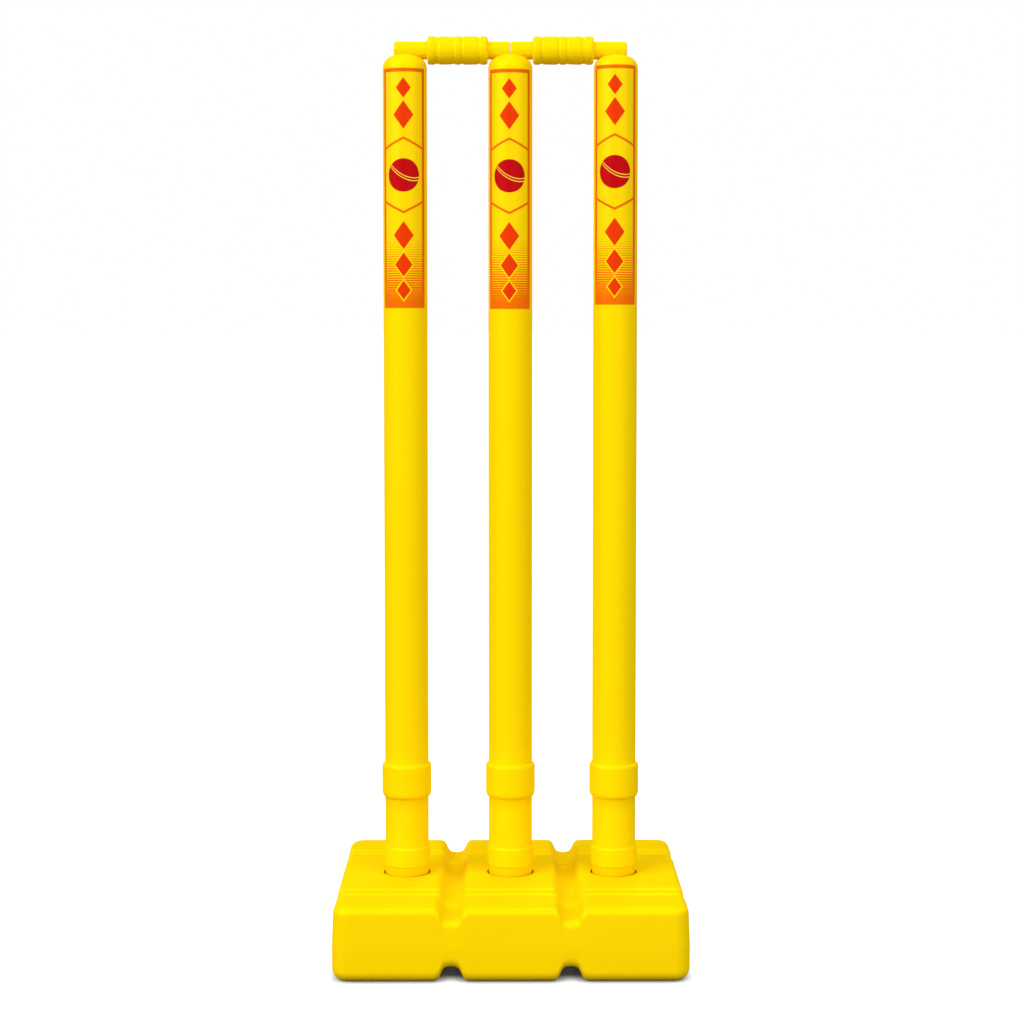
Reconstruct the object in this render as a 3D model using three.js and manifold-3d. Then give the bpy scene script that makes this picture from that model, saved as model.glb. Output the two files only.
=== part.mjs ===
// Cricket stumps in moulded plastic: three hollow stumps stand in a hollow grooved base,
// two bails lie across their tops, and each stump wears a printed label on its front.
// Millimetres, +Z up, front towards -Y, origin on the ground in the middle of the base.

import * as THREE from "three";
import { mergeVertices } from "three/addons/utils/BufferGeometryUtils.js";
import Module from "manifold-3d";

const wasm = await Module();
wasm.setup();

// Wicket
const wicketHeight = 711;
const stumpSpacing = 83.3;
const seatGap = 0.3;
const cutOverrun = 5;

// Base block
const baseWidth = 273;
const baseDepth = 224;
const baseHeight = 57;
const baseWall = 3;
const baseCornerRadius = 12;
const baseTopRound = 6;
const baseFootRound = 9;
const partingHeight = 25;
const partingProud = 0.9;
const footDraft = 0.2;

// Grooves that run from front to back, above and below, and the valleys between the base's three ribs
const blocksAcross = 3;
const grooveReach = 8.4;
const grooveSharpness = 8;
const grooveRoundShare = 0.226;
const topGrooveDepth = 10.5;
const footGrooveDepth = 10.9;
const endRibDepth = 46;
const valleyDepth = 3;
const valleyInnerRun = 20;
const valleyOuterRun = 10;
const valleyStepShare = 0.85;
const grooveSaddle = 2.2;

// Hollow stump
const tubeRadius = 17.4;
const neckRadius = 17.35;
const stumpWall = 2.2;
const footEdge = 1;
const domeHeight = 13;
const domePower = 2.4;

// Moulded collars of the stump
const lowerCollarRadius = 18.4;
const lowerCollarHeight = 16;
const lowerCollarRise = 7;
const lowerCollarTopRound = 2.5;
const lowerCollarFootRound = 1;
const neckLength = 39.5;
const upperCollarRadius = 19.65;
const upperCollarHeight = 27.3;
const upperCollarTopRound = 3;
const upperCollarFootRound = 4.6;

// Holes and locating bosses of the base
const holeClearance = 1.55;
const bossClearance = 0.5;
const bossHeight = 11;
const bossTaper = 1.5;

// Bails
const spigotRadius = 6.95;
const longSpigotLength = 26.3;
const spigotEdge = 0.8;
const bailSeatDepth = 4.4;
const bailMeetGap = 0.4;
const barrelEndGap = 0.45;
const barrelRadius = 11.05;
const barrelEdge = 1.2;
const barrelGrooveDepth = 0.65;
const barrelGrooveReach = 1.3;
const barrelGrooveShares = [0.137, 0.421, 0.579, 0.863];

// Labels
const labelHeight = 187.3;
const labelThickness = 0.3;
const labelDrop = 0.2;
const labelArc = 127.5;
const labelTurns = [-1.7, -3, -4.9];
const labelRiseShares = [0.0035, 0, 0.018];

// Facets
const stumpFacets = 28;
const bailFacets = 20;
const holeFacets = 32;
const labelFacets = 14;
const roundSteps = 3;
const domeSteps = 6;
const outerBorderSteps = 4;
const innerBorderSteps = 2;
const grooveLineShares = [0, 0.4, 0.7, 0.88, 1, 1.15, 1.4, 1.65];
const valleyInnerShares = [1, 0.88, 0.62, 0.38, 0.12];
const valleyOuterShares = [0.5, 1];

// Places worked out from the sizes above
const stumpPlaces = [-1, 0, 1].map((side) => side * stumpSpacing);
const grooveShift = baseWidth / blocksAcross / 2;
const valleyShift = baseDepth / 2 - endRibDepth;
const stumpFoot = baseWall + seatGap;
const lowerCollarFoot = baseHeight + lowerCollarRise;
const lowerCollarTop = lowerCollarFoot + lowerCollarHeight;
const upperCollarFoot = lowerCollarTop + neckLength;
const upperCollarTop = upperCollarFoot + upperCollarHeight;
const domeFoot = wicketHeight - domeHeight;
const boreRadius = neckRadius - stumpWall;
const bossRadius = boreRadius - bossClearance;
const seatRadius = spigotRadius + seatGap;
const bailAxisHeight = wicketHeight - bailSeatDepth + seatRadius;
const barrelStart = tubeRadius + barrelEndGap;
const barrelLength = stumpSpacing - 2 * barrelStart;

// Materials
const yellow = new THREE.MeshStandardMaterial({ color: 0xfbd905, roughness: 0.42, metalness: 0 });
const labelFilm = new THREE.MeshStandardMaterial({ color: 0xf58a1c, roughness: 0.25, metalness: 0 });

// A closed geometry as a solid: shared corners merged and triangles without area left out
function solidOf(geometry) {
  geometry.deleteAttribute("normal");
  geometry.deleteAttribute("uv");
  const merged = mergeVertices(geometry);
  const corners = merged.index.array;
  const kept = [];
  for (let t = 0; t < corners.length; t += 3) {
    const [a, b, c] = corners.slice(t, t + 3);
    if (a !== b && b !== c && c !== a) kept.push(a, b, c);
  }
  return new wasm.Manifold(
    new wasm.Mesh({
      numProp: 3,
      vertProperties: new Float32Array(merged.attributes.position.array),
      triVerts: new Uint32Array(kept),
    }),
  );
}

// A solid's triangles as a geometry
function geometryOf(solid) {
  const mesh = solid.getMesh();
  const geometry = new THREE.BufferGeometry();
  geometry.setAttribute("position", new THREE.BufferAttribute(mesh.vertProperties, 3));
  geometry.setIndex(new THREE.BufferAttribute(mesh.triVerts, 1));
  geometry.computeVertexNormals();
  return geometry;
}

function namedMesh(name, geometry, material) {
  const mesh = new THREE.Mesh(geometry, material);
  mesh.name = name;
  return mesh;
}

// A turned solid round +Z from [radius, height] points that start and end on the axis
function turned(points, facets) {
  const profile = points.map(([radius, height]) => new THREE.Vector2(radius, height));
  return solidOf(new THREE.LatheGeometry(profile, facets).rotateX(Math.PI / 2));
}

// A straight or tapered round plug along +Z, from one height to another
function roundPlug(lowRadius, highRadius, low, high, facets) {
  const plug = new THREE.CylinderGeometry(highRadius, lowRadius, high - low, facets);
  return solidOf(plug.rotateX(Math.PI / 2).translate(0, 0, (low + high) / 2));
}

// Rounded edge of a turned profile: a quarter ellipse from one [radius, height] corner to another,
// steepFirst when it leaves the first corner along the height
function quarterRound(from, to, steepFirst) {
  const points = [];
  for (let step = 0; step <= roundSteps; step += 1) {
    const angle = (step / roundSteps) * (Math.PI / 2);
    const late = 1 - Math.cos(angle);
    const early = Math.sin(angle);
    const [across, along] = steepFirst ? [late, early] : [early, late];
    points.push([from[0] + (to[0] - from[0]) * across, from[1] + (to[1] - from[1]) * along]);
  }
  return points;
}

// Dome of a stump, from its rim to its crown: (radius share)^power + (height share)^power = 1
function dome(rimRadius, foot, height) {
  const points = [];
  for (let step = 0; step <= domeSteps; step += 1) {
    const angle = (step / domeSteps) * (Math.PI / 2);
    const across = step === domeSteps ? 0 : Math.cos(angle) ** (2 / domePower);
    points.push([rimRadius * across, foot + height * Math.sin(angle) ** (2 / domePower)]);
  }
  return points;
}

// Share of the groove's full depth at a distance across it: 1 in its rounded middle, 0 well outside
function grooveShare(across, reach) {
  const away = Math.min(Math.abs(across - grooveShift), Math.abs(across + grooveShift)) / reach;
  return Math.max(0, 1 - grooveRoundShare * away ** 2) / (1 + away ** grooveSharpness);
}

// Share of the valley's full depth at a place from front to back: 1 on its crease, 0 on the ribs' flats,
// down a slope with two soft steps
function valleyShare(along) {
  const out = Math.abs(along) - valleyShift;
  const run = out < 0 ? valleyInnerRun : valleyOuterRun;
  const down = Math.max(0, 1 - Math.abs(out) / run);
  return down - (valleyStepShare / (4 * Math.PI)) * Math.sin(4 * Math.PI * down);
}

// Top of the base: three ribs with valleys between them, crossed by two grooves with a saddle at each valley
function topHeight(x, y, reach) {
  const valley = valleyShare(y);
  const groove = topGrooveDepth - (valleyDepth + grooveSaddle) * valley;
  return baseHeight - valleyDepth * valley - groove * grooveShare(x, reach);
}

function footHeight(x, reach) {
  return footGrooveDepth * grooveShare(x, reach);
}

// How far a rounded edge drops at a distance in from the outline
function edgeDrop(inset, round) {
  return inset < round ? round - Math.sqrt(round ** 2 - (round - inset) ** 2) : 0;
}

// Grid lines along one side: the given inner lines between two borders that end in rounded corners
function gridLines(half, innerLines, borderSteps) {
  const border = [];
  for (let step = 0; step <= borderSteps; step += 1) {
    const share = Math.sin((step / borderSteps) * (Math.PI / 2));
    border.push(half - baseCornerRadius + baseCornerRadius * share);
  }
  const inner = [...innerLines].sort((a, b) => a - b);
  return [...border.map((line) => -line).reverse(), ...inner, ...border];
}

// A grid corner moved from a square plan to a plan with round corners, with its distance in from the outline
function planPoint(u, v, halfX, halfY) {
  const p = Math.max(0, (Math.abs(u) - halfX) / baseCornerRadius + 1);
  const q = Math.max(0, (Math.abs(v) - halfY) / baseCornerRadius + 1);
  const bent = p > 0 && q > 0;
  const x = bent ? halfX - baseCornerRadius + baseCornerRadius * p * Math.sqrt(1 - q ** 2 / 2) : Math.abs(u);
  const y = bent ? halfY - baseCornerRadius + baseCornerRadius * q * Math.sqrt(1 - p ** 2 / 2) : Math.abs(v);
  const out = Math.sqrt(p ** 2 + q ** 2 - (p * q) ** 2);
  return { x: Math.sign(u) * x, y: Math.sign(v) * y, inset: baseCornerRadius * (1 - out) };
}

// The base's outer block, or with inset set to the wall the hollow inside it: a top and a foot surface
// on one grid, joined by side walls that stand out a little at the parting line
function groovedBlock(inset, borderSteps) {
  const halfX = baseWidth / 2 - inset;
  const halfY = baseDepth / 2 - inset;
  const reach = grooveReach + inset;
  const acrossLines = [-grooveShift, grooveShift].flatMap((middle) =>
    grooveLineShares.flatMap((share) =>
      share === 0 ? [middle] : [middle - share * reach, middle + share * reach],
    ),
  );
  const valleyLines = [
    0,
    ...valleyInnerShares.map((share) => -share * valleyInnerRun),
    ...valleyOuterShares.map((share) => share * valleyOuterRun),
  ];
  const alongLines = valleyLines.flatMap((line) => [valleyShift + line, -valleyShift - line]);

  // One level of the grid, drawn in by the draft, as rows of plan points
  const level = (draft) => {
    const us = gridLines(halfX - draft, acrossLines, borderSteps);
    const vs = gridLines(halfY - draft, alongLines, borderSteps);
    return vs.map((v) => us.map((u) => planPoint(u, v, halfX - draft, halfY - draft)));
  };
  const drawn = level(partingProud);
  const proud = level(0);
  const low = level(footDraft);
  const rows = drawn.length;
  const columns = drawn[0].length;

  const positions = [];
  const top = drawn.flat().map(({ x, y, inset: edge }) => {
    positions.push(x, y, topHeight(x, y, reach) - inset - edgeDrop(edge, baseTopRound));
    return positions.length / 3 - 1;
  });
  const foot = low.flat().map(({ x, y, inset: edge }) => {
    positions.push(x, y, footHeight(x, reach) + inset + edgeDrop(edge, baseFootRound));
    return positions.length / 3 - 1;
  });

  // The outline's grid corners in order, anticlockwise from above
  const outline = [];
  for (let column = 0; column < columns; column += 1) outline.push([0, column]);
  for (let row = 1; row < rows; row += 1) outline.push([row, columns - 1]);
  for (let column = columns - 2; column >= 0; column -= 1) outline.push([rows - 1, column]);
  for (let row = rows - 2; row > 0; row -= 1) outline.push([row, 0]);
  const parting = outline.map(([row, column]) => {
    const { x, y } = proud[row][column];
    positions.push(x, y, partingHeight);
    return positions.length / 3 - 1;
  });

  const faces = [];
  const quad = (a, b, c, d) => faces.push(a, b, c, a, c, d);
  for (let row = 0; row + 1 < rows; row += 1) {
    for (let column = 0; column + 1 < columns; column += 1) {
      const corner = row * columns + column;
      const cell = [corner, corner + 1, corner + columns + 1, corner + columns];
      quad(...cell.map((c) => top[c]));
      quad(...cell.map((c) => foot[c]).reverse());
    }
  }
  outline.forEach(([row, column], here) => {
    const next = (here + 1) % outline.length;
    const [nextRow, nextColumn] = outline[next];
    const [a, b] = [row * columns + column, nextRow * columns + nextColumn];
    quad(parting[here], parting[next], top[b], top[a]);
    quad(foot[a], foot[b], parting[next], parting[here]);
  });

  const geometry = new THREE.BufferGeometry();
  geometry.setAttribute("position", new THREE.Float32BufferAttribute(positions, 3));
  geometry.setIndex(faces);
  return solidOf(geometry);
}

// Hollow base: a cut hole over each boss, which is moulded up from below and keeps a stump's foot in place
function base() {
  let shell = groovedBlock(0, outerBorderSteps).subtract(groovedBlock(baseWall, innerBorderSteps));
  const holeRadius = neckRadius + holeClearance;
  const bossTop = baseWall + bossHeight;
  const dimpleRadius = bossRadius - baseWall;
  for (const place of stumpPlaces) {
    const hole = roundPlug(holeRadius, holeRadius, baseHeight / 2, baseHeight + cutOverrun, holeFacets);
    const boss = roundPlug(bossRadius, bossRadius - bossTaper, baseWall / 2, bossTop, holeFacets);
    const dimple = roundPlug(
      dimpleRadius + bossTaper,
      dimpleRadius - bossTaper,
      -bossTop + baseWall,
      bossTop - baseWall,
      holeFacets,
    );
    shell = shell.subtract(hole.translate([place, 0, 0]));
    shell = shell.add(boss.translate([place, 0, 0]));
    shell = shell.subtract(dimple.translate([place, 0, 0]));
  }
  return namedMesh("base", geometryOf(shell), yellow);
}

// Hollow stump, open at its foot, with two collars and a seat for the bails across its crown
function stump(name, place) {
  const outside = turned(
    [
      [0, stumpFoot],
      [neckRadius - footEdge, stumpFoot],
      [neckRadius, stumpFoot + footEdge],
      [neckRadius, lowerCollarFoot],
      [lowerCollarRadius - lowerCollarFootRound, lowerCollarFoot],
      [lowerCollarRadius, lowerCollarFoot + lowerCollarFootRound],
      ...quarterRound(
        [lowerCollarRadius, lowerCollarTop - lowerCollarTopRound],
        [neckRadius, lowerCollarTop],
        true,
      ),
      ...quarterRound(
        [neckRadius, upperCollarFoot],
        [upperCollarRadius, upperCollarFoot + upperCollarFootRound],
        false,
      ),
      ...quarterRound(
        [upperCollarRadius, upperCollarTop - upperCollarTopRound],
        [tubeRadius, upperCollarTop],
        true,
      ),
      ...dome(tubeRadius, domeFoot, domeHeight),
    ],
    stumpFacets,
  );
  const crownWall = bailSeatDepth + stumpWall;
  const hollow = turned(
    [
      [0, stumpFoot - cutOverrun],
      [boreRadius, stumpFoot - cutOverrun],
      ...dome(boreRadius, domeFoot - stumpWall, domeHeight + stumpWall - crownWall),
    ],
    stumpFacets,
  );
  const seatLength = 2 * (tubeRadius + cutOverrun);
  const seat = solidOf(
    new THREE.CylinderGeometry(seatRadius, seatRadius, seatLength, stumpFacets)
      .rotateZ(Math.PI / 2)
      .translate(0, 0, bailAxisHeight),
  );
  const mesh = namedMesh(name, geometryOf(outside.subtract(hollow).subtract(seat)), yellow);
  mesh.position.x = place;
  return mesh;
}

// Printed film round the front of a stump's top
function label(name, place, turn, riseShare) {
  const innerRadius = tubeRadius + seatGap;
  const middle = THREE.MathUtils.degToRad(turn - 90);
  const half = THREE.MathUtils.degToRad(labelArc / 2);
  const section = new THREE.Shape();
  section.absarc(0, 0, innerRadius + labelThickness, middle - half, middle + half, false);
  section.absarc(0, 0, innerRadius, middle + half, middle - half, true);
  const film = new THREE.ExtrudeGeometry(section, {
    depth: labelHeight,
    bevelEnabled: false,
    curveSegments: labelFacets,
  });
  const mesh = namedMesh(name, geometryOf(solidOf(film)), labelFilm);
  const foot = domeFoot - labelDrop - labelHeight;
  mesh.position.set(place, 0, foot + riseShare * labelHeight);
  return mesh;
}

// Bail: a ringed barrel between two stumps, a short spigot inwards and a long one outwards
function bail(name, side) {
  const start = bailMeetGap / 2;
  const barrelEnd = barrelStart + barrelLength;
  const end = barrelEnd + longSpigotLength;
  const rings = barrelGrooveShares.flatMap((share) => {
    const middle = barrelStart + share * barrelLength;
    const bottom = barrelRadius - barrelGrooveDepth;
    return [
      [barrelRadius, middle - barrelGrooveReach],
      [bottom, middle - barrelGrooveReach / 2],
      [bottom, middle + barrelGrooveReach / 2],
      [barrelRadius, middle + barrelGrooveReach],
    ];
  });
  const turnedBail = turned(
    [
      [0, start],
      [spigotRadius - spigotEdge, start],
      [spigotRadius, start + spigotEdge],
      [spigotRadius, barrelStart],
      [barrelRadius - barrelEdge, barrelStart],
      [barrelRadius, barrelStart + barrelEdge],
      ...rings,
      [barrelRadius, barrelEnd - barrelEdge],
      [barrelRadius - barrelEdge, barrelEnd],
      [spigotRadius, barrelEnd],
      [spigotRadius, end - spigotEdge],
      [spigotRadius - spigotEdge, end],
      [0, end],
    ],
    bailFacets,
  );
  const mesh = namedMesh(name, geometryOf(turnedBail), yellow);
  mesh.rotation.y = side * (Math.PI / 2);
  mesh.position.z = bailAxisHeight;
  return mesh;
}

const sideNames = ["left", "middle", "right"];
const cricketStumps = new THREE.Group();
cricketStumps.add(base());
stumpPlaces.forEach((place, index) => {
  cricketStumps.add(stump(`stump_${sideNames[index]}`, place));
  cricketStumps.add(label(`label_${sideNames[index]}`, place, labelTurns[index], labelRiseShares[index]));
});
cricketStumps.add(bail("bail_left", -1));
cricketStumps.add(bail("bail_right", 1));

export default cricketStumps;
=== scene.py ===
"""Looks for the moulded plastic cricket stumps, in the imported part's own frame.

Sizes are in millimetres in the code and become metres where meshes are made. The base, stumps,
bails and labels are computed surfaces that stand for the CAD nodes of the same names.
"""

import math

import bpy
import numpy as np
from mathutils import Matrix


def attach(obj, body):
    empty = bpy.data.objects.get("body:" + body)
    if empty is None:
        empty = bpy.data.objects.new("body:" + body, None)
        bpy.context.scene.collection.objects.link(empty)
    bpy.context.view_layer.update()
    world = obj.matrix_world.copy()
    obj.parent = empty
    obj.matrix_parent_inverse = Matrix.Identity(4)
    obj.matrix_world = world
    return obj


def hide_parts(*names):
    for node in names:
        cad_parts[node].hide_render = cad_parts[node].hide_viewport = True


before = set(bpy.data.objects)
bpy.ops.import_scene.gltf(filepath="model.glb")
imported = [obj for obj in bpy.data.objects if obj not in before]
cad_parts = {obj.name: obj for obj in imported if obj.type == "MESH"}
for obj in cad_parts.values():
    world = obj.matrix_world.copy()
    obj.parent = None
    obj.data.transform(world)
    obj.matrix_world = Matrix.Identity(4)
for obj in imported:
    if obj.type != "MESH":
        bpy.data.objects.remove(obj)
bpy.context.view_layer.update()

MM = 0.001

# Sizes shared with the CAD part, in millimetres
SPACING = 83.3
BASE = {"width": 273.0, "depth": 224.0, "height": 57.0, "wall": 3.0}
CORNER, TOP_ROUND, FOOT_ROUND = 12.0, 6.0, 9.0
PARTING, PROUD, FOOT_DRAFT = 25.0, 0.9, 0.2
GROOVE_X, GROOVE_REACH, GROOVE_ROUND, GROOVE_POWER = BASE["width"] / 6, 8.4, 0.226, 8
TOP_GROOVE, FOOT_GROOVE, SADDLE = 10.5, 10.9, 2.2
VALLEY_Y, VALLEY_DEPTH, VALLEY_IN, VALLEY_OUT, VALLEY_STEP = 66.0, 3.0, 20.0, 10.0, 0.85
HOLE_RADIUS = 18.9
BOSS = {"foot": 14.65, "top": 13.15, "rise": 11.0}
DIMPLE = {"foot": 11.65, "top": 10.15, "rise": 11.0}
TUBE, NECK, BORE = 17.4, 17.35, 15.15
FOOT_Z, DOME_Z, DOME_RISE, DOME_POWER = 3.3, 698.0, 13.0, 2.4
LOWER_FOOT, LOWER_TOP, LOWER_RADIUS = 64.0, 80.0, 18.4
UPPER_FOOT, UPPER_TOP, UPPER_RADIUS = 119.5, 146.8, 19.65
BAIL_AXIS, SPIGOT, BARREL, SEAT_GAP = 713.85, 6.95, 11.05, 0.3
BAIL_START, BARREL_START, BARREL_END, BAIL_END = 0.2, 17.85, 65.45, 91.75
LABEL_FOOT, LABEL_HEIGHT, LABEL_ARC = 510.5, 187.3, 127.5

SIDES = ("left", "middle", "right")
PLACES = dict(zip(SIDES, (-SPACING, 0.0, SPACING)))
TURNS = dict(zip(SIDES, (-1.7, -3.0, -4.9)))
RISES = dict(zip(SIDES, (0.66, 0.0, 3.37)))

# Grid of the base: half side of the square round a hole, lines across that square, lines near the
# ribs' far sides, and for each skin the steps between lines and the counts of lines and rows
HOLE_SQUARE = 28.0
HOLE_LINES = np.array(
    [0, 2.5, 5, 7.5, 9.2, 10.15, 10.65, 11.15, 11.65, 12.4, 13.15, 13.9, 14.65, 16, 17.5, 18.9]
    + [19.4, 20.3, 21.6, 23.4, 25.6, 28]
)
END_LINE = SPACING + HOLE_SQUARE + 5
MIDDLE_LINES = [32.0, 37.0, 42.0]
RIB_LINES = [82.0, 90.0]
OUTER_GRID = {"step": 1.1, "valley_step": 0.8, "border": 14, "above": 9, "below": 5}
INNER_GRID = {"step": 2.5, "valley_step": 3.5, "border": 7, "above": 3, "below": 3}
FAR = 1e3

# Stump: closed end of the bore in (radius, height), the place where the neck's finer lines start,
# radius and height of each rounding, the rounded tops' drop, and the softness of the seat's rim
BORE_END = [[0, 700.5], [7, 700], [12, 697.5], [14.6, 693.5], [BORE, 688]]
NECK_START = 30
STUMP_EDGE = (0.8, 0.8)
LOWER_FOOT_ROUND, LOWER_TOP_ROUND = (1.0, 1.0), (1.25, 2.5)
UPPER_FOOT_ROUND, UPPER_TOP_ROUND = (2.1, 4.6), (2.35, 3.1)
ROUND_DROP = 0.1
SEAT_SOFT, SEAT_MARGIN = 0.14, 0.02
STUMP_FACETS, CROWN_STEPS = 160, 34

# Bail: rounds of the barrel's ends and of the tips, half length of a step, moulding lines
FLANGE, TIP, STEP_REACH = 2.1, 1.6, 0.75
MOULD_TURNS, MOULD_WIDTH, MOULD_HEIGHT, MOULD_LEAST_RADIUS = (-32.0, 148.0), 0.35, 0.16, 3
BAIL_FACETS = 96

# Where each band and valley of a bail's barrel starts along it, with its radius there and at its end
BARREL_STEPS = [
    (0.0, 11.05, 11.05),
    (5.6, 10.35, 10.45),
    (8.4, 10.9, 11.0),
    (19.2, 10.3, 10.3),
    (21.4, 11.0, 11.0),
    (25.8, 10.35, 10.35),
    (27.9, 10.75, 11.0),
    (38.0, 10.4, 10.35),
    (41.8, 11.05, 11.05),
]

# Label: points up and across it, and how far its face and its back stand off the stump
LABEL_ROWS, LABEL_COLUMNS = 60, 72
LABEL_LIFTS = (0.13, 0.02)

# Edges sharper than this angle stay sharp, in degrees
SHARP = 38


def make_piece(name, points, quads, triangles, material, body, node):
    """A smooth mesh from points in millimetres, riding on a body and standing for a CAD node."""
    quads = np.asarray(quads, np.int32).reshape(-1, 4)
    triangles = np.asarray(triangles, np.int32).reshape(-1, 3)
    mesh = bpy.data.meshes.new(name)
    mesh.vertices.add(len(points))
    mesh.vertices.foreach_set("co", (np.asarray(points) * MM).astype(np.float32).ravel())
    mesh.loops.add(quads.size + triangles.size)
    mesh.loops.foreach_set("vertex_index", np.concatenate([quads.ravel(), triangles.ravel()]))
    starts = [np.arange(len(quads)) * 4, quads.size + np.arange(len(triangles)) * 3]
    mesh.polygons.add(len(quads) + len(triangles))
    mesh.polygons.foreach_set("loop_start", np.concatenate(starts).astype(np.int32))
    mesh.update(calc_edges=True)
    mesh.shade_smooth()
    mesh.set_sharp_from_angle(angle=math.radians(SHARP))
    mesh.materials.append(material)
    piece = bpy.data.objects.new(name, mesh)
    bpy.context.scene.collection.objects.link(piece)
    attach(piece, body)
    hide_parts(node)
    return piece


def grid_quads(rows, columns, wrap=False):
    """Quads of a grid of points stored row by row; wrap joins the last column to the first."""
    r = np.arange(rows - 1)[:, None]
    c = np.arange(columns if wrap else columns - 1)[None, :]
    a, b = r * columns + c, r * columns + (c + 1) % columns
    return np.stack([a, b, b + columns, a + columns], -1).reshape(-1, 4)


def grid_outline(rows, columns):
    """The points round the outside of such a grid, in order."""
    at = np.arange(rows * columns).reshape(rows, columns)
    return np.concatenate([at[0, :-1], at[:-1, -1], at[-1, :0:-1], at[:0:-1, 0]])


def ring_quads(high, low):
    """Quads between two closed rows of points."""
    return np.stack([low, np.roll(low, -1), np.roll(high, -1), high], -1)


def arc(centre, radii, start, stop, steps):
    """Points of an elliptic arc in (radius, height), angles in degrees from the +radius axis."""
    angles = np.radians(np.linspace(start, stop, steps))
    across = centre[0] + radii[0] * np.cos(angles)
    upward = centre[1] + radii[1] * np.sin(angles)
    return np.stack([across, upward], -1)


def line(start, stop, steps):
    """Points along a straight stretch of a profile."""
    return np.linspace(np.array(start, float), np.array(stop, float), steps)


def lathe(profile, angles):
    """A turned surface round +Z from a profile whose two ends lie on the axis.

    Point i, j is (r_i cos a_j, r_i sin a_j, z_i). The two ends become single points joined by
    fans of triangles.
    """
    profile = np.asarray(profile)
    inner, ends = profile[1:-1], profile[[0, -1]]
    rings = np.stack(
        [
            inner[:, :1] * np.cos(angles),
            inner[:, :1] * np.sin(angles),
            np.repeat(inner[:, 1:], len(angles), 1),
        ],
        -1,
    ).reshape(-1, 3)
    points = np.concatenate([rings, [[0, 0, ends[0, 1]], [0, 0, ends[1, 1]]]])
    n, last = len(angles), len(rings) - len(angles)
    here = np.arange(n)
    there = (here + 1) % n
    fans = np.concatenate(
        [
            np.stack([there, here, np.full(n, len(rings))], -1),
            np.stack([last + here, last + there, np.full(n, len(rings) + 1)], -1),
        ]
    )
    return points, grid_quads(len(inner), n, wrap=True), fans


def groove(x, reach):
    """Share of a front-to-back groove's depth: (1 - k q^2) / (1 + q^8), with q = distance / reach."""
    away = np.abs(np.abs(x) - GROOVE_X) / reach
    return np.clip(1 - GROOVE_ROUND * away**2, 0, None) / (1 + away**GROOVE_POWER)


def valley(y):
    """Share of a left-to-right valley's depth: f(f(t)) with f(t) = t - s sin(4 pi t) / (4 pi) and
    t = 1 - |distance| / run, a slope with two soft steps, run longer on the inside."""
    out = np.abs(y) - VALLEY_Y
    run = np.where(out < 0, VALLEY_IN, VALLEY_OUT)
    t = np.clip(1 - np.abs(out) / run, 0, None)
    for _ in range(2):
        t = t - VALLEY_STEP / (4 * math.pi) * np.sin(4 * math.pi * t)
    return t


def plug(r, size):
    """Height of a round plug with tapered sides at a distance r from its axis."""
    return size["rise"] * np.clip((size["foot"] - r) / (size["foot"] - size["top"]), 0, 1)


def edge_drop(inset, radius):
    """How far an edge rounded with a radius drops at a distance in from the outline."""
    reach = np.clip(radius - inset, 0, None)
    return radius - np.sqrt(radius**2 - reach**2)


def base_lines(half, inner, steps):
    """Grid lines across one side: the given ones and a border that closes up towards the edge,
    each with its mirror image, in order and without repeats."""
    border = half - CORNER + CORNER * np.sin(np.linspace(0, math.pi / 2, steps))
    lines = np.concatenate([*inner, border])
    return np.unique(np.round(np.concatenate([-lines, lines]), 4))


def base_plan(inset, draft, grid):
    """Plan of the base's grid: x, y, the distance in from the outline and the distance from the
    nearest stump's axis, as arrays.

    A square corner patch p, q in 0..1 bends onto a round corner by x = p sqrt(1 - q^2 / 2),
    y = q sqrt(1 - p^2 / 2). Round each stump's place, squares of half side m turn into circles of
    radius m up to the hole's rim and blend back into squares outside it.
    """
    half_x = BASE["width"] / 2 - inset - draft
    half_y = BASE["depth"] / 2 - inset - draft
    step, valley_step = grid["step"], grid["valley_step"]
    between = np.arange(HOLE_SQUARE + step, SPACING - HOLE_SQUARE - step / 2, step)
    across = [HOLE_LINES, SPACING + HOLE_LINES, SPACING - HOLE_LINES, between, [END_LINE]]
    slopes = np.arange(VALLEY_Y - VALLEY_IN, VALLEY_Y + VALLEY_OUT + 0.1, valley_step)
    along = [HOLE_LINES, MIDDLE_LINES, slopes, RIB_LINES]
    columns = base_lines(half_x, across, grid["border"])
    rows = base_lines(half_y, along, grid["border"])
    u, v = np.meshgrid(columns, rows)
    p = np.clip((np.abs(u) - half_x) / CORNER + 1, 0, None)
    q = np.clip((np.abs(v) - half_y) / CORNER + 1, 0, None)
    bent = (p > 0) & (q > 0)
    bent_x = half_x - CORNER + CORNER * p * np.sqrt(1 - q**2 / 2)
    bent_y = half_y - CORNER + CORNER * q * np.sqrt(1 - p**2 / 2)
    x = np.where(bent, bent_x, np.abs(u)) * np.sign(u)
    y = np.where(bent, bent_y, np.abs(v)) * np.sign(v)
    edge = CORNER * (1 - np.sqrt(np.clip(p**2 + q**2 - (p * q) ** 2, 0, 1)))
    ring = np.full(u.shape, FAR)
    for place in PLACES.values():
        dx = x - place
        square = np.maximum(np.abs(dx), np.abs(y))
        near = square < HOLE_SQUARE
        blend = np.clip((square - HOLE_RADIUS) / (HOLE_SQUARE - HOLE_RADIUS), 0, 1)
        blend = blend**2 * (3 - 2 * blend)
        shrink = square / np.maximum(np.hypot(dx, y), 1e-9)
        factor = np.where(near, blend + (1 - blend) * shrink, 1)
        ring = np.where(near, square, ring)
        x, y = place + dx * factor, y * factor
    return x, y, edge, ring


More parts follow.
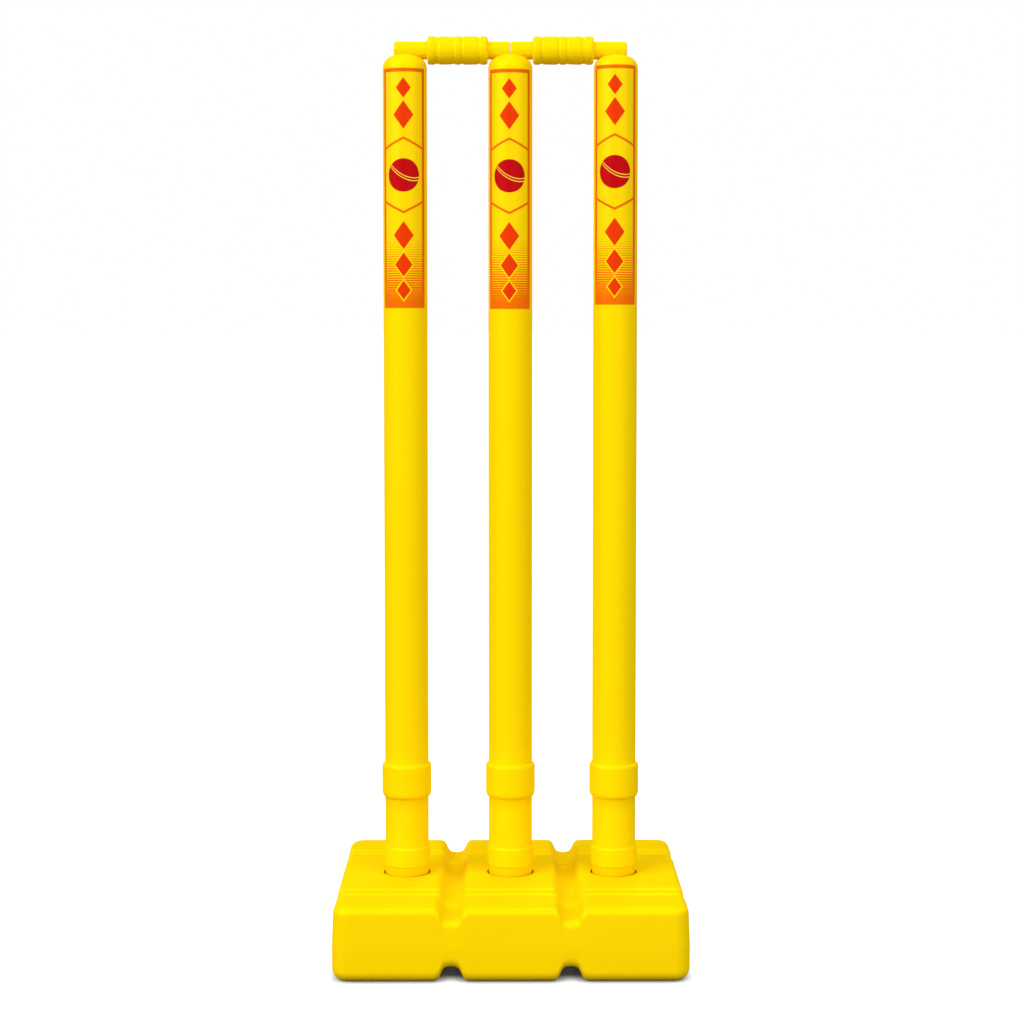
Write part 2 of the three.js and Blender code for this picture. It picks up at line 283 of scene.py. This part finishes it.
def base_skin(inset, grid, boss):
    """One closed skin of the base, outer or inner, with its hole rims open.

    Top: height - valley depth * valley(y) - groove depth * groove(x), with a lower groove depth at
    the valleys; foot: arch depth * groove(x) plus the boss under each stump; both drop at the
    rounded outline. The sides run from the top through the parting line to the foot.
    """
    x, y, edge, ring = base_plan(inset, PROUD, grid)
    far_x, far_y, _, _ = base_plan(inset, 0, grid)
    low_x, low_y, low_edge, low_ring = base_plan(inset, FOOT_DRAFT, grid)
    reach = GROOVE_REACH + inset
    depth = TOP_GROOVE - (VALLEY_DEPTH + SADDLE) * valley(y)
    top = BASE["height"] - inset - VALLEY_DEPTH * valley(y) - depth * groove(x, reach)
    top = top - edge_drop(edge, TOP_ROUND)
    foot = inset + FOOT_GROOVE * groove(low_x, reach) + edge_drop(low_edge, FOOT_ROUND)
    foot = foot + plug(low_ring, boss)
    outline = grid_outline(*x.shape)
    upper = np.stack([x, y, top], -1).reshape(-1, 3)
    lower = np.stack([low_x, low_y, foot], -1).reshape(-1, 3)
    crest = np.stack([far_x, far_y, np.full_like(x, PARTING)], -1).reshape(-1, 3)[outline]
    levels = []
    for share in np.linspace(0, 1, grid["above"])[1:-1]:
        levels.append(upper[outline] * (1 - share) + crest * share)
    levels.append(crest)
    for share in np.linspace(0, 1, grid["below"])[1:-1]:
        levels.append(crest * (1 - share) + lower[outline] * share)
    points = np.concatenate([upper, lower, *levels])
    count, length = len(upper), len(outline)
    around = [2 * count + index * length + np.arange(length) for index in range(len(levels))]
    around = [outline, *around, count + outline]
    sides = [ring_quads(high, low) for high, low in zip(around, around[1:])]
    cells = grid_quads(*x.shape)
    open_cells = (ring.reshape(-1)[cells] <= HOLE_RADIUS + 1e-6).all(1)
    quads = np.concatenate([cells[~open_cells], count + cells[:, ::-1], *sides])
    on_rim = np.abs(ring - HOLE_RADIUS) < 1e-3
    rims = []
    for place in PLACES.values():
        index = np.flatnonzero(on_rim & (np.abs(x - place) < HOLE_SQUARE))
        turn = np.arctan2(upper[index, 1], upper[index, 0] - place)
        rims.append(index[np.argsort(turn)])
    return points, quads, rims


def base_mesh():
    """Outer and inner skin of the base, joined at the rims of the three holes."""
    outer, outer_quads, outer_rims = base_skin(0.0, OUTER_GRID, DIMPLE)
    inner, inner_quads, inner_rims = base_skin(BASE["wall"], INNER_GRID, BOSS)
    shift = len(outer)
    quads = [outer_quads, shift + inner_quads[:, ::-1]]
    for high, low in zip(outer_rims, inner_rims):
        low = low + shift
        quads.append(np.stack([high, np.roll(high, -1), np.roll(low, -1), low], -1))
    return np.concatenate([outer, inner]), np.concatenate(quads), []


def dome_radius(z):
    """Radius of the stump's top at a height: (r / tube)^p + ((z - foot) / rise)^p = 1 on the dome."""
    up = np.clip((np.asarray(z, float) - DOME_Z) / DOME_RISE, 0, 1)
    return TUBE * (1 - up**DOME_POWER) ** (1 / DOME_POWER)


def rounding(radius, height, radii, start, stop, steps):
    """A rounded edge that reaches a radius, above or below a height: upwards from it if its angles
    are negative, and downwards if they are positive."""
    rise = radii[1] if start < 0 else -radii[1]
    return arc((radius - radii[0], height + rise), radii, start, stop, steps)


def stump_profile():
    """The bore from its closed end down to the foot, then the outside from the foot to the crown.

    The crown is (tube cos(a)^(2/p), rise sin(a)^(2/p)), the same curve as in dome_radius.
    """
    angles = np.linspace(0, math.pi / 2, CROWN_STEPS)
    crown_radius = TUBE * np.cos(angles) ** (2 / DOME_POWER)
    crown_height = DOME_Z + DOME_RISE * np.sin(angles) ** (2 / DOME_POWER)
    crown = np.stack([crown_radius, crown_height], -1)
    crown[-1, 0] = 0
    low_end, high_end = LOWER_TOP - ROUND_DROP, UPPER_TOP - ROUND_DROP
    return np.concatenate(
        [
            BORE_END,
            [[BORE, FOOT_Z]],
            rounding(NECK, FOOT_Z, STUMP_EDGE, -90, 0, 4),
            line((NECK, NECK_START), (NECK, LOWER_FOOT - 0.3), 3),
            rounding(LOWER_RADIUS, LOWER_FOOT, LOWER_FOOT_ROUND, -80, 0, 5),
            rounding(LOWER_RADIUS, low_end, LOWER_TOP_ROUND, 0, 80, 8),
            line((NECK, LOWER_TOP + 0.4), (NECK, UPPER_FOOT - 0.4), 5),
            rounding(UPPER_RADIUS, UPPER_FOOT, UPPER_FOOT_ROUND, -88, 0, 9),
            line((UPPER_RADIUS, UPPER_FOOT + 6), (UPPER_RADIUS, UPPER_TOP - 3.6), 4),
            rounding(UPPER_RADIUS, high_end, UPPER_TOP_ROUND, 0, 84, 10),
            line((TUBE, UPPER_TOP + 0.3), (TUBE, DOME_Z - 1), 40),
            crown,
        ]
    )


def stump_mesh(place):
    """A turned stump whose crown dips to the bails' seat, a half round groove along X.

    The seat's floor is axis - sqrt(R^2 - y^2), and dome and seat meet in a small smooth minimum,
    min(a, b) - k log(1 + exp(-|a - b| / k)).
    """
    angles = np.linspace(0, 2 * math.pi, STUMP_FACETS, endpoint=False)
    points, quads, fans = lathe(stump_profile(), angles)
    seat_radius = SPIGOT + SEAT_GAP
    seat_edge = seat_radius - SEAT_MARGIN
    across = np.abs(points[:, 1])
    floor = BAIL_AXIS - np.sqrt(seat_radius**2 - np.clip(across, 0, seat_edge) ** 2)
    floor = np.where(across < seat_edge, floor, FAR)
    low = np.minimum(points[:, 2], floor)
    gap = np.abs(points[:, 2] - floor) / SEAT_SOFT
    cut = low - SEAT_SOFT * np.log1p(np.exp(-np.clip(gap, 0, 50)))
    crown = points[:, 2] > DOME_Z
    points[crown, 2] = np.where(gap < 8, cut, low)[crown]
    points[:, 0] += place
    return points, quads, fans


def bail_profile():
    """Half section of a bail from its inner end to its outer end, in (radius, place along X).

    From each band to the next the radius is eased by 1/2 + 3/4 t - 1/4 t^3, t from -1 to 1.
    """
    first, last = BARREL_STEPS[0][1], BARREL_STEPS[-1][2]
    tip, flange = (TIP, TIP), (FLANGE, FLANGE)
    parts = [
        [(0.0, BAIL_START)],
        arc((SPIGOT - TIP, BAIL_START + TIP), tip, -90, 0, 7),
        line((SPIGOT, 4), (SPIGOT, BARREL_START - 0.5), 4),
        [(SPIGOT + 0.1, BARREL_START - 0.1), (SPIGOT + 0.5, BARREL_START)],
        arc((first - FLANGE, BARREL_START + FLANGE), flange, -90, 0, 8),
    ]
    t = np.linspace(-1, 1, 9)
    eased = 0.5 + 0.75 * t - 0.25 * t**3
    for (_, _, before), (start, after, _) in zip(BARREL_STEPS, BARREL_STEPS[1:]):
        radius = before + (after - before) * eased
        parts.append(np.stack([radius, BARREL_START + start + STEP_REACH * t], -1))
    parts += [
        arc((last - FLANGE, BARREL_END - FLANGE), flange, 0, 90, 8),
        [(SPIGOT + 0.5, BARREL_END), (SPIGOT + 0.1, BARREL_END + 0.1)],
        line((SPIGOT, BARREL_END + 0.5), (SPIGOT, BAIL_END - TIP - 1), 4),
        arc((SPIGOT - TIP, BAIL_END - TIP), tip, 0, 90, 7),
        [(0.0, BAIL_END)],
    ]
    return np.concatenate(parts)


def bail_mesh(side):
    """A turned bail laid along X, with the fine moulding lines that run along it.

    A line stands out by h exp(-(d / w)^2) at the distance d round the barrel from its middle, and
    nothing stands out past the barrel's own radius.
    """
    lines = np.radians(MOULD_TURNS)
    near = [middle + np.radians(np.linspace(-5, 5, 11)) for middle in lines]
    even = np.radians(np.linspace(-180, 180, BAIL_FACETS, endpoint=False))
    angles = np.unique(np.round(np.concatenate([*near, even]), 5))
    points, quads, fans = lathe(bail_profile(), angles)
    radius = np.hypot(points[:, 0], points[:, 1])
    turn = np.arctan2(points[:, 1], points[:, 0])
    bump = np.zeros(len(points))
    for middle in lines:
        away = ((turn - middle + math.pi) % (2 * math.pi) - math.pi) * radius
        bump += np.exp(-((away / MOULD_WIDTH) ** 2))
    bump = np.where(radius > MOULD_LEAST_RADIUS, MOULD_HEIGHT * bump, 0)
    radius = radius + np.minimum(bump, BARREL - radius)
    front, up, along = radius * np.cos(turn), radius * np.sin(turn), points[:, 2]
    placed = np.stack([side * along, -front, BAIL_AXIS + up], -1)
    if side > 0:
        quads, fans = quads[:, ::-1], fans[:, ::-1]
    return placed, quads, fans


def label_mesh(place, turn, rise):
    """A thin film round the front of a stump: its face, its back and the edges between them."""
    height = np.linspace(0, LABEL_HEIGHT, LABEL_ROWS)[:, None] + LABEL_FOOT + rise
    half = LABEL_ARC / 2
    angles = np.radians(np.linspace(-half, half, LABEL_COLUMNS) + turn - 90)
    heights = np.repeat(height, LABEL_COLUMNS, 1)
    shells = []
    for lift in LABEL_LIFTS:
        radius = dome_radius(height) + lift
        shell = np.stack([place + radius * np.cos(angles), radius * np.sin(angles), heights], -1)
        shells.append(shell.reshape(-1, 3))
    cells = grid_quads(LABEL_ROWS, LABEL_COLUMNS)
    outline = grid_outline(LABEL_ROWS, LABEL_COLUMNS)
    count = LABEL_ROWS * LABEL_COLUMNS
    quads = [cells, count + cells[:, ::-1], ring_quads(outline, count + outline)]
    return np.concatenate(shells), np.concatenate(quads)


class Nodes:
    """Short hands for a node tree; values are sockets or plain constants."""

    def __init__(self, tree):
        self.tree = tree

    def put(self, socket, value):
        """Link a socket to an input, or set the input to a constant."""
        if isinstance(value, bpy.types.NodeSocket):
            self.tree.links.new(value, socket)
        else:
            socket.default_value = value

    def fill(self, node, inputs):
        """Link or set inputs of a node by their names."""
        for name, value in inputs.items():
            self.put(node.inputs[name], value)

    def node(self, kind, output=0, **inputs):
        """One output of a new node with the given inputs."""
        made = self.tree.nodes.new(kind)
        self.fill(made, inputs)
        return made.outputs[output]

    def math(self, operation, *values, clamp=False):
        """The result of a new math node."""
        made = self.tree.nodes.new("ShaderNodeMath")
        made.operation = operation
        made.use_clamp = clamp
        for socket, value in zip(made.inputs, values):
            self.put(socket, value)
        return made.outputs[0]

    def mix(self, share, low, high):
        """A colour between two others."""
        made = self.tree.nodes.new("ShaderNodeMix")
        made.data_type = "RGBA"
        self.put(made.inputs[0], share)
        self.put(made.inputs[6], low)
        self.put(made.inputs[7], high)
        return made.outputs[2]

    def spread(self, value, low, high):
        """A 0 to 1 value moved to low to high."""
        return self.math("MULTIPLY_ADD", value, high - low, low)

    def length(self, x, y):
        """sqrt(x^2 + y^2)."""
        return self.math("SQRT", self.math("MULTIPLY_ADD", x, x, self.math("MULTIPLY", y, y)))


def new_material(name):
    """A new material with its nodes and its shader."""
    material = bpy.data.materials.new(name)
    material.use_nodes = True
    return material, Nodes(material.node_tree), material.node_tree.nodes["Principled BSDF"]


def yellow_plastic(name, stretch, green):
    """Satin moulded plastic: fine grain and soft ripples in the surface, and small changes of
    gloss and colour. stretch lengthens the ripples along Z, as in a drawn tube; green is the
    least green of the colour."""
    material, n, shader = new_material(name)
    place = n.node("ShaderNodeTexCoord", 3)
    scaled = n.node("ShaderNodeMapping", Vector=place, Scale=(1, 1, stretch))
    ripple = n.node("ShaderNodeTexNoise", Vector=scaled, Scale=38.0, Detail=2.0)
    grain = n.node("ShaderNodeTexNoise", Vector=place, Scale=900.0, Detail=2.0)
    patch = n.node("ShaderNodeTexNoise", Vector=place, Scale=16.0, Detail=3.0)
    rough = n.math("MULTIPLY_ADD", grain, 0.05, ripple)
    surface = {
        "Base Color": n.mix(patch, (0.96, green, 0.0012, 1), (0.98, green + 0.02, 0.0018, 1)),
        "Roughness": n.spread(patch, 0.26, 0.36),
        "IOR": 1.5,
        "Metallic": 0.08,
        "Specular IOR Level": 0.0,
        "Specular Tint": (1.0, 0.9, 0.3, 1),
        "Normal": n.node("ShaderNodeBump", Strength=0.12, Distance=0.002, Height=rough),
    }
    n.fill(shader, surface)
    return material


# The label's pattern, in millimetres: side and top of its frame, its bars, its two roof lines, the
# ball with its seams, and the lozenges as height, half width and half height
FRAME_SIDE, FRAME_TOP = 3.2, 3.0
BAR_STEP, BAR_FILL, BARS_TOP = 1.9, 2.1, 56
BALL_HEIGHT, BALL_RADIUS = 104.0, 13.0
ROOF_REACH, ROOF_SLOPE, ROOF_HALF = 29.0, 0.5, 1.0
SEAM_BEND, SEAM_SLOPE, SEAM_RISE, SEAM_APART, SEAM_HALF = -0.03, 0.5, 1.2, 1.1, 0.35
LOZENGES = [(172.0, 6, 8), (151.0, 8, 11), (57.0, 8, 11), (34.0, 7, 9.5), (14.0, 5.5, 7.5)]
HALO_WIDTH, HALO_HEIGHT = 1.3, 1.7
PAPER, ORANGE, BARS = (0.965, 0.658, 0.0018, 1), (0.82, 0.14, 0.0015, 1), (0.88, 0.155, 0.0012, 1)
RED, DEEP, PALE = (0.8, 0.042, 0.0015, 1), (0.5, 0.0035, 0.005, 1), (0.97, 0.7, 0.06, 1)


def label_print():
    """Printed glossy film with a plain pattern: a frame, a column of lozenges, a seamed ball between
    two roof lines, and bars that close up towards the foot. Places are measured from the label's
    foot and middle."""
    material, n, shader = new_material("label_print")
    uv = n.node("ShaderNodeSeparateXYZ", Vector=n.node("ShaderNodeUVMap")).node
    width = math.radians(LABEL_ARC) * TUBE
    x = n.math("MULTIPLY_ADD", uv.outputs[0], width, -width / 2)
    z = n.math("MULTIPLY", uv.outputs[1], LABEL_HEIGHT)
    side = n.math("ABSOLUTE", x)

    def below(value, limit):
        """1 where a value is below a limit, 0 above it, and a soft edge a fifth of a mm wide."""
        return n.math("MULTIPLY_ADD", n.math("SUBTRACT", value, limit), -5.0, 0.5, clamp=True)

    def above(value, limit):
        """1 where a value is above a limit, with the same soft edge."""
        return n.math("MULTIPLY_ADD", n.math("SUBTRACT", limit, value), -5.0, 0.5, clamp=True)

    def away(value, place):
        """Distance of a value from a place."""
        return n.math("ABSOLUTE", n.math("SUBTRACT", value, place))

    def lozenge(height, half_width, half_height):
        """Inside side + |z - height| * half width / half height = half width."""
        share = n.math("MULTIPLY_ADD", side, half_height / half_width, away(z, height))
        far = n.math("MULTIPLY_ADD", share, half_width / half_height, -half_width)
        return n.math("MULTIPLY_ADD", far, -5.0, 0.5, clamp=True)

    at_side = above(side, width / 2 - FRAME_SIDE)
    at_top = above(z, LABEL_HEIGHT - FRAME_TOP)
    colour = n.mix(n.math("MAXIMUM", at_side, at_top), PAPER, ORANGE)
    fill = n.math("MULTIPLY_ADD", z, -BAR_FILL / BARS_TOP, BAR_FILL)
    bars = n.math("MULTIPLY", below(n.math("MODULO", z, BAR_STEP), fill), below(z, BARS_TOP))
    colour = n.mix(bars, colour, BARS)
    roof = away(n.math("MULTIPLY_ADD", side, ROOF_SLOPE, away(z, BALL_HEIGHT)), ROOF_REACH)
    colour = n.mix(below(roof, ROOF_HALF), colour, ORANGE)
    shapes, halos = [], []
    for height, half_width, half_height in LOZENGES:
        shapes.append(lozenge(height, half_width, half_height))
        halos.append(lozenge(height, half_width + HALO_WIDTH, half_height + HALO_HEIGHT))
    for layer, ink in ((halos, PAPER), (shapes, RED)):
        together = layer[0]
        for shape in layer[1:]:
            together = n.math("MAXIMUM", together, shape)
        colour = n.mix(together, colour, ink)
    up = n.math("SUBTRACT", z, BALL_HEIGHT)
    ball = below(n.length(x, up), BALL_RADIUS)
    colour = n.mix(ball, colour, DEEP)
    slope = n.math("MULTIPLY_ADD", x, SEAM_SLOPE, up)
    bend = n.math("MULTIPLY_ADD", n.math("MULTIPLY", x, x), SEAM_BEND, slope)
    lines = away(n.math("ABSOLUTE", n.math("ADD", bend, SEAM_RISE)), SEAM_APART)
    colour = n.mix(n.math("MULTIPLY", below(lines, SEAM_HALF), ball), colour, PALE)
    surface = {
        "Base Color": colour,
        "Roughness": 0.22,
        "IOR": 1.5,
        "Metallic": 0.06,
        "Specular IOR Level": 0.02,
    }
    n.fill(shader, surface)
    return material


def make_label(side_name, place, body, material):
    """A label on its stump, with a UV map that runs from 0 to 1 across it and up it."""
    node = f"label_{side_name}"
    points, quads = label_mesh(place, TURNS[side_name], RISES[side_name])
    film = make_piece(f"{node}_film", points, quads, [], material, body, node)
    across, upward = np.meshgrid(np.linspace(0, 1, LABEL_COLUMNS), np.linspace(0, 1, LABEL_ROWS))
    shares = np.stack([across, upward], -1).reshape(-1, 2)
    shares = np.tile(shares, (len(LABEL_LIFTS), 1)).astype(np.float32)
    corners = np.zeros(len(film.data.loops), np.int32)
    film.data.loops.foreach_get("vertex_index", corners)
    layer = film.data.uv_layers.new(name="UVMap")
    layer.data.foreach_set("uv", shares[corners].ravel())


def make_object():
    """The base, the three stumps with their labels, and the two bails."""
    moulded = yellow_plastic("moulded_yellow", 1.0, 0.65)
    drawn = yellow_plastic("moulded_yellow_tube", 0.25, 0.663)
    printed = label_print()
    make_piece("base_shell", *base_mesh(), moulded, "base", "base")
    for side_name, place in PLACES.items():
        body = f"stump_{side_name}"
        stump = make_piece(f"{body}_tube", *stump_mesh(place), drawn, body, body)
        make_label(side_name, place, body, printed)
    for side_name, side in (("left", -1), ("right", 1)):
        body = f"bail_{side_name}"
        bail = make_piece(f"{body}_turned", *bail_mesh(side), moulded, body, body)


# Stage, in metres: half side of the floor, and how far the floor's painted shadow reaches, from a
# rectangle that lies this many millimetres inside the base's outline
FLOOR_HALF, PAINTED_SHADOW_REACH, PAINTED_SHADOW_INSET = 60.0, 0.022, 22
LAMP_REACH, LAMP_AIM = 3.3, 0.3
FOCAL_PIXELS, FRAME_PIXELS, FRAME_WIDTH = 2160, 1024, 36.0
CAMERA_PLACE, CAMERA_TILT, CAMERA_TURN = (-0.0074, -1.7203, 0.5053), 3.58, -0.29


def shown_rays(n):
    """1 for the rays that show the surroundings: camera, glossy and transmission rays."""
    rays = n.tree.nodes.new("ShaderNodeLightPath").outputs
    glossy = n.math("MAXIMUM", rays["Is Glossy Ray"], rays["Is Transmission Ray"])
    return n.math("MAXIMUM", rays["Is Camera Ray"], glossy)


def make_floor():
    """A wide floor. The rays that show it see white with a painted shadow of the base, darkened where
    the base is within a few millimetres (ambient occlusion) and by (distance / reach)^1.5 under the
    base; to the other rays it is a plain grey."""
    mesh = bpy.data.meshes.new("floor")
    half = FLOOR_HALF
    corners = [(-half, -half, 0), (half, -half, 0), (half, half, 0), (-half, half, 0)]
    mesh.from_pydata(corners, [], [(0, 1, 2, 3)])
    material, n, shader = new_material("floor_white")
    # painted contact shade: ambient occlusion of the base darkens the floor's white glow
    near = n.node("ShaderNodeAmbientOcclusion", 1, Distance=0.008)
    near.node.samples = 4
    place = n.node("ShaderNodeSeparateXYZ", Vector=n.node("ShaderNodeTexCoord", 3)).node
    outside = []
    for axis, size in ((0, BASE["width"]), (1, BASE["depth"])):
        edge = (size / 2 - PAINTED_SHADOW_INSET) * MM
        out = n.math("SUBTRACT", n.math("ABSOLUTE", place.outputs[axis]), edge)
        outside.append(n.math("MAXIMUM", out, 0.0))
    away = n.math("MULTIPLY", n.length(*outside), 1 / PAINTED_SHADOW_REACH, clamp=True)
    # painted shadow under the base: the glow falls to 0.03 towards a rectangle inside the base's
    # outline
    light = n.spread(n.math("POWER", away, 1.5), 0.03, 1.0)
    surface = {
        "Base Color": (0.3, 0.3, 0.3, 1),
        "Roughness": 0.9,
        "Specular IOR Level": 0.0,
        "Emission Color": (1, 1, 1, 1),
        "Emission Strength": n.math("MULTIPLY", near, light),
    }
    n.fill(shader, surface)
    grey = n.node("ShaderNodeBsdfDiffuse", Color=(0.16, 0.16, 0.16, 1))
    chosen = n.tree.nodes.new("ShaderNodeMixShader")
    n.put(chosen.inputs[0], shown_rays(n))
    n.put(chosen.inputs[1], grey)
    n.put(chosen.inputs[2], shader.outputs[0])
    n.put(n.tree.nodes["Material Output"].inputs["Surface"], chosen.outputs[0])
    mesh.materials.append(material)
    floor = bpy.data.objects.new("floor", mesh)
    bpy.context.scene.collection.objects.link(floor)


def make_softbox(name, azimuth, height, width, power):
    """A large square lamp at a distance across the floor, turned to the object's middle: azimuth 0
    is the front, positive to the right."""
    lamp = bpy.data.lights.new(name, "AREA")
    lamp.shape, lamp.size, lamp.energy = "SQUARE", width, power
    turn = math.radians(azimuth)
    light = bpy.data.objects.new(name, lamp)
    light.location = (LAMP_REACH * math.sin(turn), -LAMP_REACH * math.cos(turn), height)
    light.rotation_euler = (math.atan2(LAMP_REACH, height - LAMP_AIM), 0, turn)
    light.visible_camera = False
    bpy.context.scene.collection.objects.link(light)


def make_world():
    """White behind the object, and a plain grey level of light all round."""
    world = bpy.data.worlds.new("studio")
    world.use_nodes = True
    bpy.context.scene.world = world
    n = Nodes(world.node_tree)
    background = {"Color": (1, 1, 1, 1), "Strength": n.spread(shown_rays(n), 0.6, 1.0)}
    n.fill(n.tree.nodes["Background"], background)


def make_camera():
    """The photograph's view: 2160 pixels of focal length in a 1024 pixel frame."""
    data = bpy.data.cameras.new("photo")
    data.sensor_fit = "HORIZONTAL"
    data.sensor_width = FRAME_WIDTH
    data.lens = FRAME_WIDTH * FOCAL_PIXELS / FRAME_PIXELS
    data.shift_y = -0.06
    data.clip_start, data.clip_end = 0.05, 200.0
    camera = bpy.data.objects.new("photo", data)
    camera.location = CAMERA_PLACE
    camera.rotation_euler = (math.radians(90 - CAMERA_TILT), 0, math.radians(CAMERA_TURN))
    bpy.context.scene.collection.objects.link(camera)
    bpy.context.scene.camera = camera


make_object()
make_floor()
make_softbox("key", -50.0, 2.3, 3.2, 113.0)
make_softbox("fill", 32.0, 2.3, 3.2, 65.0)
make_softbox("back", 165.0, 5.5, 1.6, 31.0)
make_world()
make_camera()
bpy.context.scene.view_settings.view_transform = "Standard"
